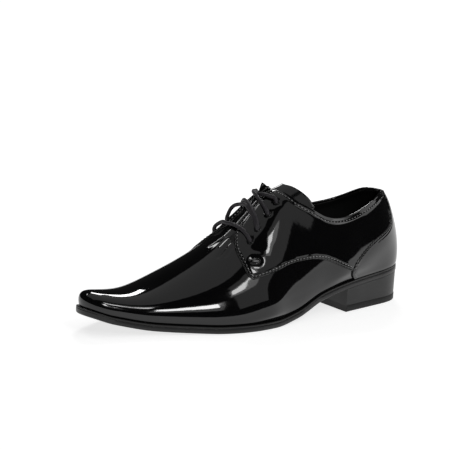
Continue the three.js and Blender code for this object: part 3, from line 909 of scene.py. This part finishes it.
def makeVamp():
    start, throat, share = (vampValues[key] for key in ("start", "throat", "throatColumn"))
    flat = []  # station and share of the width of each vertex

    def place(u, v):
        behind = start + (throat - start) * (u / share)
        station = np.where(u < share, behind, throat + (1 - throat) * (u - share) / (1 - share))
        flat.extend(zip(station, v))
        return vampPlace(station, v)

    def keep(face):
        station, v = sum((Vector(flat[vert.index]) for vert in face.verts), Vector((0, 0))) / len(face.verts)
        edge = np.interp(station, *zip(*vampValues["cut"])) + vampValues["cutMore"]
        return station > throat or 1 - abs(v * 2 - 1) < edge

    skin("vamp", vampValues, place, patent, "upper", keep=keep)


makeVamp()
print("vamp lasted")

# Quarters: folded edges, two rows of stitching along the seam, one below the top line
quarterValues = {
    "step": 0.9,
    "columns": 96,
    "rows": 56,
    "roll": 8,
    "thick": 1.0,
    "rollRadius": 1.1,
    "rollIn": 1.0,     # how far the facings lean in at their edge, in mm
    "rollWide": 6.0,
    "collarLean": 0.3,
    "collarWide": 6.8,
    "collarEnd": (82, 100),  # mm along the shoe, where the collar's lean becomes the facings'
    "edgeRadius": 0.9,
    "edgeSink": 0.35,
    # distance from the edge, height and width in mm
    "ridges": [(0.45, 0.2, 0.4), (2.1, 0.16, 0.5), (4.1, 0.1, 0.6)],
    "seamRows": (1.2, 3.1),
    "rowDepth": 0.26,
    "rowWide": 0.42,
    "topRow": 3.0,
    "topRowDepth": 0.22,
    "topRowWide": 0.45,
    "rowStart": 0.012,  # shares of the quarter's length where rows of stitching start, and how long they are
    "rowRun": 0.93,
    "frontStop": 2.0,   # mm below the top, where the front edge's rows stop
    "tack": [(0.565, 0.567), (0.551, 0.529)],  # ends of the tack, as station and up
    "tackRelief": [(0, -0.45, 2.6), (4.8, 0.34, 2.9)],
    # a dent and a swelling ahead of the lacing: station, up, height and width in mm
    "puckers": [(0.5397, 0.606, -0.45, 5.0), (0.5190, 0.682, 0.30, 8.0)],
    "holeRadius": 2.1,
    "near": [0, 0.12, 0.3, 0.55, 0.85, 1.15, 1.5, 1.85, 2.3, 2.8, 3.2, 3.6, 4.0, 4.6, 5.4],
    "far": [0, 0.6, 1.3, 2.0, 2.6, 3.0, 3.4, 4.0, 5.0, 6.2],
}


def leanIn(below, along):  # the collar leans in over its whole band, the facings only at the edge
    facing = quarterValues["rollIn"] * np.clip(1 - below / quarterValues["rollWide"], 0, 1)**2
    band = np.clip(quarterValues["collarWide"] - below, 0, None)
    collar = quarterValues["collarLean"] * band * band / (band + 2)
    share = smooth(along, *quarterValues["collarEnd"])
    return facing * share + collar * (1 - share)


def foldedEdge(edge, values):  # mm off the last, by the distance from a folded and stitched edge
    off = values["step"] * fold(edge, values["edgeRadius"]) - values["edgeSink"] * (1 - fold(edge, 0.5))
    rows = [(row, -values["rowDepth"], values["rowWide"]) for row in values["seamRows"]]
    return off + relief(edge, values["ridges"] + rows)


def rollOver(piece, spots, v, body, share, rise, radius, lean=0):
    # the rows above the body turn in over the top edge, in a half circle
    over = v > body + 1e-6
    turn = np.clip((v[over] - body) / (1 - body), 0, 1) * math.pi
    ring, up = piece.spot(share[over], rise[over])
    edge = piece.offAt(lastPoint(ring, up)) - lean
    rolled = upward(ring, up)[0] * (radius * np.sin(turn))[:, None]
    spots[over] = onLast(ring, up, edge - radius + radius * np.cos(turn)) + rolled


class Quarter:
    def __init__(self, sign):
        self.sign = sign
        self.top = innerTopLine if sign < 0 else outerTopLine
        start, end = quarterFront(0.0)[0], quarterBack(1.0)[0]

        def topEdge(share):
            station = start + (end - start) * share
            return np.stack([station, self.topAt(station)], -1)

        self.patch = stretch(quarterSeam, topEdge, lambda rise: quarterFront(1 - rise), quarterBack)
        fine = np.linspace(0, 1, 240)
        self.seamLine = self.base(fine, fine * 0)
        self.frontLine = self.base(fine * 0, fine)
        self.topLine = self.base(fine, fine * 0 + 1)
        tack = np.array(quarterValues["tack"])
        self.tackLine = lastPoint(sign * tack[:, 0], tack[:, 1])
        self.shares = np.linspace(0, 1, 60)
        self.heights = [self.lengthOf(np.full(40, share), np.linspace(0, 1, 40)) for share in self.shares]
        self.widths = [self.lengthOf(self.shares, np.full(60, share)) for share in self.shares]
        marks = np.linspace(0, 1, 600)
        self.even = shareAlong(runsOf(self.base(marks, marks * 0 + 1))), marks

    def topAt(self, station):
        return lowered(self.sign * station, self.top(station))

    def spot(self, share, rise):
        at = self.patch(share, rise)
        return self.sign * at[..., 0], at[..., 1]

    def base(self, share, rise):
        ring, up = self.spot(share, rise)
        return lastPoint(ring, up)

    def lengthOf(self, share, rise):
        return runsOf(self.base(share, rise)).sum()

    def offAt(self, points):
        values = quarterValues
        edge = np.minimum(reach(points, self.seamLine), reach(points, self.frontLine))
        top = reach(points, self.topLine)
        topRow = (values["topRow"], -values["topRowDepth"], values["topRowWide"])
        off = foldedEdge(edge, values) + relief(top, [topRow])
        off = off + relief(reach(points, self.tackLine), values["tackRelief"])
        off = off + bulges(points, [(self.sign * station, *rest) for station, *rest in values["puckers"]])
        return off + swelling(points) - leanIn(top, points[:, 0])

    def surface(self, share, rise):
        ring, up = self.spot(share, rise)
        return onLast(ring, up, self.offAt(lastPoint(ring, up)))

    def place(self, u, v):
        values = quarterValues
        body = values["rows"] / (values["rows"] + values["roll"])
        rise = np.minimum(v / body, 1)
        width = np.interp(rise, self.shares, self.widths)
        even = np.interp(graded(u, values["columns"], values["near"], [0, 2], width), *self.even)
        height = np.interp(even, self.shares, self.heights)
        rise = graded(rise, values["rows"], values["near"], values["far"], height)
        spots = self.surface(even, rise)
        rollOver(self, spots, v, body, even, rise, values["rollRadius"])
        return spots

    def punch(self, bm):  # opens the lace holes and rounds them
        for station, up in laceValues["holes"]:
            middle = Vector(toShoe(onLast(self.sign * station, up, quarterValues["step"])))
            axis = Vector(lastOut(self.sign * station, up))
            radius = quarterValues["holeRadius"] * mm

            def flat(point):
                return (point - middle) - axis * (point - middle).dot(axis)

            near = [face for face in bm.faces if (face.calc_center_median() - middle).length < 0.012]
            lost = [face for face in near if flat(face.calc_center_median()).length < radius]
            rim = {vert for face in lost for vert in face.verts}
            bmesh.ops.delete(bm, geom=lost, context="FACES")
            for vert in rim:
                if vert.is_valid and vert.is_boundary:
                    spoke = flat(vert.co)
                    vert.co += spoke.normalized() * radius - spoke

    def line(self, kind, distance):  # points of a row that runs beside an edge
        start, run, stop = (quarterValues[key] for key in ("rowStart", "rowRun", "frontStop"))
        fine = np.linspace(0, 1, 500)
        if kind == "seam":
            share = distance / np.interp(0.0, self.shares, self.widths) + fine * run
            rise = distance / np.interp(share, self.shares, self.heights)
        elif kind == "front":
            rise = distance / self.heights[0] + fine * (1 - (distance + stop) / self.heights[0])
            share = distance / np.interp(rise, self.shares, self.widths)
        else:
            share = start + fine * run
            rise = 1 - distance / np.interp(share, self.shares, self.heights)
        return self.surface(share, rise), lastOut(*self.spot(share, rise))


quarters = {"quarterOuter": Quarter(1), "quarterInner": Quarter(-1)}
for quarterName, quarter in quarters.items():
    skin(quarterName, quarterValues, quarter.place, patent, "upper", cut=quarter.punch)
print("quarters closed over the vamp")

# Counter: wraps the heel and rises to the top line as a narrow tab
counterValues = {
    "step": 1.5,
    "columns": 84,
    "rows": 70,
    "roll": 8,
    "thick": 1.0,
    "rollRadius": 1.3,
    "edgeRadius": 1.0,
    "edgeSink": 0.3,
    "ridges": [(0.7, 0.2, 0.45), (2.2, 0.12, 0.45)],
    "seamRows": (1.2, 3.0),
    "rowDepth": 0.24,
    "rowWide": 0.4,
    "rowEnds": (0.02, 0.985),
    "edgeRows": 0.97,   # share of the rows that follow the edge's line
    "widest": 0.26,     # station
    "high": 58,         # mm from the sole to the top line
    "near": [0, 0.12, 0.3, 0.55, 0.85, 1.15, 1.45, 1.8, 2.2, 2.6, 3.0, 3.4, 4.0],
}


class Counter:
    def __init__(self):
        at = counterEdge(np.linspace(0, 1, 300))
        self.edges = [lastPoint(sign * at[:, 0], at[:, 1]) for sign in (-1, 1)]
        self.ends = np.linspace(0, counterValues["widest"], 60)
        self.runs = np.concatenate([[0], np.cumsum(runsOf(lastPoint(self.ends, 0.2)))])

    def rowAt(self, rise):  # half width in stations, and up, as the edge has them
        at = counterEdge(np.minimum(rise / counterValues["edgeRows"], 1))
        return at[..., 0], at[..., 1]

    def widthAt(self, rise):  # mm from edge to edge
        return 2 * np.interp(self.rowAt(rise)[0], self.ends, self.runs)

    def spot(self, share, rise):
        half, up = self.rowAt(rise)
        ring = half * (share * 2 - 1)
        blend = smooth(rise, 0.5, 1.0)
        return ring, up + (lowered(ring, topUp(ring)) - counterEdge(1.0)[1]) * blend

    def offAt(self, points):
        return foldedEdge(np.minimum(*(reach(points, edge) for edge in self.edges)), counterValues)

    def surface(self, share, rise):
        ring, up = self.spot(share, rise)
        points = lastPoint(ring, up)
        lean = leanIn((1 - rise) * counterValues["high"], 0)
        return onLast(ring, up, self.offAt(points) + swellingOver(points, up) - lean - feather(up))

    def place(self, u, v):
        values = counterValues
        body = values["rows"] / (values["rows"] + values["roll"])
        rise = np.minimum(v / body, 1)
        share = graded(u, values["columns"], values["near"], values["near"], self.widthAt(rise))
        spots = self.surface(share, rise)
        rollOver(self, spots, v, body, share, rise, values["rollRadius"], leanIn(0, 0))
        return spots

    def line(self, sign, distance):
        rise = np.linspace(*counterValues["rowEnds"], 500)
        share = 0.5 + sign * (0.5 - distance / self.widthAt(rise))
        return self.surface(share, rise), lastOut(*self.spot(share, rise))


counter = Counter()
skin("heelCounter", counterValues, counter.place, patent, "upper")
print("counter set")

# The inner facing's top corner curls up a little
tipValues = {
    "columns": 8,
    "rows": 10,
    "thick": 0.9,
    "from": 0.4660,
    "to": 0.4420,
    "up": 0.925,
    "off": 0.2,
    "top": (0.4500, 0.945, 5.2),
    "bellyUp": 0.03,
    "bellyOff": 3.0,
    "belly": 0.7,
}


def tipPlace(u, v):
    values = tipValues
    ring = -(values["from"] + (values["to"] - values["from"]) * u)
    foot = onLast(ring, values["up"], values["off"] + u * 0)
    top = onLast(-values["top"][0], *values["top"][1:])
    rise = v[:, None]
    belly = onLast(ring, values["up"] + values["bellyUp"], values["bellyOff"] + u * 0) - foot
    return foot * (1 - rise) + top * rise + belly * (rise * (1 - rise) * values["belly"])


skin("facingTip", tipValues, tipPlace, patent, "upper")

# Tongue: rises from under the vamp, crowned between the facings, and stands above the lacing
tongueValues = {
    "columns": 90,
    "rows": 64,
    "thick": 1.7,
    "sideOff": -2.0,  # mm off the last, under the facings and on the crown
    "crownOff": -0.7,
    "crownUp": (0.86, 1.0),
    "run": 110,       # mm from the vamp to the tongue's top
    "edgeRadius": 1.0,
    "edgeIn": 0.8,
    # the top sinks in, and so does the inner side: mm, with ranges along the tongue, up and across it
    "topSink": 2.1,
    "topAlong": (0.7, 1.0),
    "topUp": (0.82, 1.0),
    "innerSink": 2.0,
    "innerAlong": (0.62, 0.84),
    "innerUp": (0.62, 0.85),
    "innerAcross": (0.45, 0.57),
}


class Tongue:
    def __init__(self):
        foot = tongueEdge(0.0)

        def ridge(share):
            return np.stack([foot[0] + (tongueTop(1.0)[0] - foot[0]) * share, share * 0 + 1], -1)

        def atFoot(rise):
            return np.stack([rise * 0 + foot[0], foot[1] + (1 - foot[1]) * rise], -1)

        self.patch = stretch(tongueEdge, ridge, atFoot, tongueTop)

    def place(self, u, v):
        values = tongueValues
        at = self.patch(u, 1 - np.abs(v * 2 - 1))
        ring = np.where(v > 0.5, -at[:, 0], at[:, 0])
        up = np.minimum(at[:, 1], 1)
        off = values["sideOff"] + (values["crownOff"] - values["sideOff"]) * smooth(up, *values["crownUp"])
        edge = 1 - fold((1 - u) * values["run"], values["edgeRadius"])
        top = smooth(u, *values["topAlong"]) * smooth(up, *values["topUp"])
        inner = smooth(v, *values["innerAcross"]) * smooth(up, *values["innerUp"])
        sink = values["topSink"] * top + values["innerSink"] * smooth(u, *values["innerAlong"]) * inner
        return onLast(ring, up, off - values["edgeIn"] * edge - sink)


tongue = Tongue()
skin("tonguePiece", tongueValues, tongue.place, tonguePatent, "tongue", replaced=["tongue"])
print("tongue laid in")

# Lining and sock, seen through the collar
liningValues = {
    "columns": 160,
    "rows": 36,
    "thick": 0.8,
    "off": -1.25,
    "reach": 0.62,     # stations, past the throat on both sides
    "topEnd": 0.551,   # the top line is level from there on
    "scaleAt": 0.95,   # share of the height where a unit of up is measured
    "lean": 0.95,
    "footIn": 0.6,
    "footHigh": 0.06,
}


def liningPlace(u, v):
    values = liningValues
    ring = (u * 2 - 1) * values["reach"]
    top = lowered(ring, topUp(np.sign(ring) * np.minimum(np.abs(ring), values["topEnd"])))
    below = (1 - v) * top * upward(ring, top * values["scaleAt"])[1]
    lean = leanIn(below, lastPoint(ring, top)[:, 0]) * values["lean"]
    foot = values["footIn"] * (1 - smooth(v, 0, values["footHigh"]))
    return onLast(ring, top * v, values["off"] - lean - foot)


skin("lining", liningValues, liningPlace, looks["lining"], "upper", facing=inward, replaced=["upper"])

sockValues = {"columns": 120, "rows": 24, "thick": 1.2, "inset": 2.5, "high": 1.9, "curl": 1.2, "end": 1.0}
padValues = {"columns": 60, "rows": 24, "thick": 0.5, "end": 0.30, "step": 0.6, "run": 300, "over": 0.01}


def sockPlace(end, extra):
    def place(u, v):
        station = end * (1 - np.cos(u * math.pi)) / 2
        low, far = (outline(sign * station, -sockValues["inset"] + u * 0) for sign in (-1, 1))
        flat = low * (1 - v[:, None]) + far * v[:, None]
        curl = sockValues["curl"] * np.abs(v * 2 - 1)**4
        high = soleUnder(flat[:, 0]) + last["sole"] + sockValues["high"] + curl + extra(station)
        return np.concatenate([flat, high[:, None]], -1)
    return place


def padRise(station):
    return padValues["step"] * fold((padValues["end"] - station) * padValues["run"], 0.8) + padValues["over"]


skin("sockLining", sockValues, sockPlace(sockValues["end"], lambda station: 0), looks["sock"], "insole",
     facing=upwards, replaced=["insole"])
skin("heelPad", padValues, sockPlace(padValues["end"], padRise), looks["lining"], "insole", facing=upwards)
print("lining and sock in place")

# Stitching: one short thread after another, all in one mesh
stitchValues = {"pitch": 3.1, "long": 2.0, "wide": 0.62, "high": 0.6, "sunk": 0.14, "aim": 0.8}


def stitchRow(bm, line, out):
    values = stitchValues
    marks = np.concatenate([[0], np.cumsum(runsOf(line))])
    count = max(int(marks[-1] / values["pitch"]), 1)
    for place in (np.arange(count) + 0.5) * marks[-1] / count:
        back, ahead = (np.array([np.interp(place + gone, marks, line[:, i]) for i in range(3)])
                       for gone in (-values["aim"], values["aim"]))
        away = unit(np.array([np.interp(place, marks, out[:, i]) for i in range(3)]))
        way = unit(ahead - back)
        side = unit(np.cross(away, way))
        away = np.cross(way, side)
        middle = toShoe((back + ahead) / 2 + away * values["sunk"])
        size = np.array([values["long"] / 2, values["wide"] / 2, values["high"] / 2]) * mm
        turn = Matrix([[way[i] * size[0], side[i] * size[1], away[i] * size[2], middle[i]] for i in range(3)]
                      + [[0, 0, 0, 1]])
        bmesh.ops.create_uvsphere(bm, u_segments=6, v_segments=4, radius=1, matrix=turn)


# A tack of thick thread holds each quarter's front corner: a flat loop with bars inside
tackValues = {
    "long": 3.1,      # half the loop's length and width, in mm
    "wide": 1.9,
    "sunk": 0.3,
    "high": 0.25,
    "tube": 0.65,
    "loopRun": 24,    # mm of thread
    "loopSteps": 48,
    "bars": (-0.55, 0.4),
    "barLong": 2.2,
    "barHigh": 0.55,
    "barDip": 0.5,    # how far the bars' ends go down
    "barTube": 0.32,
    "barRun": 6,
    "barSteps": 16,
    "sides": 8,
}


def sewTack(bm, sign, aside=None):  # a bar that far aside, or the loop
    values = tackValues
    start, end = quarters["quarterOuter" if sign > 0 else "quarterInner"].tackLine
    ring, up = np.mean(quarterValues["tack"], axis=0)
    out = lastOut(sign * ring, up)
    way = unit(end - start)
    side = np.cross(out, way)
    middle = (start + end) / 2 + out * (quarterValues["step"] - values["sunk"])

    def loop(share):
        turn = np.asarray(share)[..., None] * 2 * math.pi
        flat = way * np.cos(turn) * values["long"] + side * np.sin(turn) * values["wide"]
        return middle + flat + out * values["high"]

    def bar(share):
        gone = np.asarray(share)[..., None] * 2 - 1
        high = values["barHigh"] - values["barDip"] * gone**6
        return middle + way * gone * values["barLong"] + side * aside + out * high

    if aside is None:
        tubeAlong(bm, loop, values["loopRun"], values["tube"], values["loopSteps"], values["sides"])
    else:
        tubeAlong(bm, bar, values["barRun"], values["barTube"], values["barSteps"], values["sides"])


def makeStitching():
    bm, edge = bmesh.new(), bmesh.new()
    for one in quarters.values():
        for row, distance in zip((edge, bm), quarterValues["seamRows"]):
            stitchRow(row, *one.line("seam", distance))
            stitchRow(row, *one.line("front", distance))
        stitchRow(bm, *one.line("top", quarterValues["topRow"]))
    for sign in (-1, 1):
        for distance in counterValues["seamRows"]:
            stitchRow(edge, *counter.line(sign, distance))
        for aside in tackValues["bars"]:
            sewTack(bm, sign, aside)
    # The quarters' inner seam and front rows, their top rows and the tack bars take the thread painted light
    # grey, a painted highlight. The quarters' edge rows and the counter's rows take the dark copy.
    for name, rows, look in (("stitching", bm, "thread"), ("edgeStitching", edge, "edgeThread")):
        bmesh.ops.recalc_face_normals(rows, faces=rows.faces[:])
        finish(name, rows, looks[look], "upper", sharp=180)
    bm = bmesh.new()
    for sign in (-1, 1):
        sewTack(bm, sign)
    closeUp(bm)
    finish("tackLoops", bm, patent, "upper", sharp=180)


makeStitching()
print("stitching sewn")

# Hole rims
rimValues = {"radius": 2.25, "tube": 0.34, "high": 0.02, "sides": 8, "steps": 24}


def makeRims():
    values = rimValues
    bm = bmesh.new()
    for sign in (-1, 1):
        for station, up in laceValues["holes"]:
            ring = bmesh.new()
            spot = Matrix.Translation((values["radius"] * mm, 0, 0)) @ Matrix.Rotation(math.pi / 2, 4, "X")
            bmesh.ops.create_circle(ring, segments=values["sides"], radius=values["tube"] * mm, matrix=spot)
            bmesh.ops.spin(ring, geom=ring.verts[:] + ring.edges[:], cent=(0, 0, 0), axis=(0, 0, 1),
                           dvec=(0, 0, 0), angle=2 * math.pi, steps=values["steps"], use_merge=True)
            out = Vector(lastOut(sign * station, up))
            middle = Vector(toShoe(onLast(sign * station, up, quarterValues["step"] + values["high"])))
            turn = Matrix.Translation(middle) @ out.to_track_quat("Z", "Y").to_matrix().to_4x4()
            bmesh.ops.transform(ring, matrix=turn, verts=ring.verts[:])
            held = bpy.data.meshes.new("ring")
            ring.to_mesh(held)
            bm.from_mesh(held)
            bpy.data.meshes.remove(held)
            ring.free()
    closeUp(bm)
    finish("holeRims", bm, patent, "upper", sharp=180)


makeRims()
print("holes rimmed")

# Floor and lights
studioValues = {
    "floorSize": 16.0,
    "floorShade": 0.6,
    "floorGlow": (0.75, 1.0),  # near the shoe and far away
    "floorRun": (0.3, 1.6),    # m, where the glow starts and ends to rise
    "floorRough": 0.8,
    "world": 0.02,
    "aim": (0, 0, 0.05),       # m, the place that the lamps point at
    # turn from the toe towards the outer side and height in degrees, distance and sides in m, brightness
    "lamps": {
        "streak": (81.8, 34, 4.0, (0.36, 0.62), 22),
        "streakHalo": (80.5, 31, 4.05, (0.70, 1.35), 1.1),
        "side": (95.4, 49.6, 4.0, (0.40, 0.42), 11),
        "sideHalo": (98, 48, 1.6, (0.36, 0.28), 1.6),
        "panel": (108.5, 38, 1.9, (0.83, 1.5), 0.5),
        "toe": (-122, 44, 1.6, (0.42, 0.28), 16),
        "roll": (-69, 52, 1.6, (0.48, 0.09), 9),
        "collarFront": (143, 44, 1.8, (0.56, 0.50), 1.0),
        "collarBack": (170, 33, 1.8, (1.3, 0.62), 1.3),
        "ceiling": (-90, 85.5, 2.0, (2.6, 2.0), 0.48),
    },
}


def makeFloor():
    bm = bmesh.new()
    size = studioValues["floorSize"] / 2
    bmesh.ops.create_grid(bm, x_segments=8, y_segments=8, size=size)
    mesh = bpy.data.meshes.new("floor")
    bm.to_mesh(mesh)
    bm.free()
    floor = putInScene("floor", mesh)
    look = Look("paleFloor")
    away = look.add("ShaderNodeVectorMath", {"operation": "LENGTH"}, {0: look.spot()}, out=1)
    start, end = studioValues["floorRun"]
    share = look.add("ShaderNodeMapRange", {"interpolation_type": "SMOOTHSTEP"}, {0: away, 1: start, 2: end})
    look.set(baseColor=(*grey(studioValues["floorShade"]), 1), roughness=studioValues["floorRough"])
    look.set(emissionColor=look.between(*studioValues["floorGlow"], share), emissionStrength=1.0)
    mesh.materials.append(look.material)


def makeLamps():
    for name, (turn, height, distance, sides, bright) in studioValues["lamps"].items():
        turn, height = math.radians(turn), math.radians(height)
        flat = math.cos(height)
        back = Vector((math.cos(turn) * flat, math.sin(turn) * flat, math.sin(height)))
        data = bpy.data.lights.new(name, "AREA")
        data.shape = "RECTANGLE"
        data.size, data.size_y = sides
        data.energy = bright * math.pi * sides[0] * sides[1]
        lamp = putInScene(name, data)
        lamp.location = back * distance + Vector(studioValues["aim"])
        lamp.rotation_mode = "QUATERNION"
        lamp.rotation_quaternion = back.to_track_quat("Z", "Y")
        lamp.visible_camera = False
    world = bpy.data.worlds.new("studio")
    world.use_nodes = True
    world.node_tree.nodes["Background"].inputs[0].default_value = (*grey(studioValues["world"]), 1)
    bpy.context.scene.world = world


makeFloor()
makeLamps()
print("studio lit")
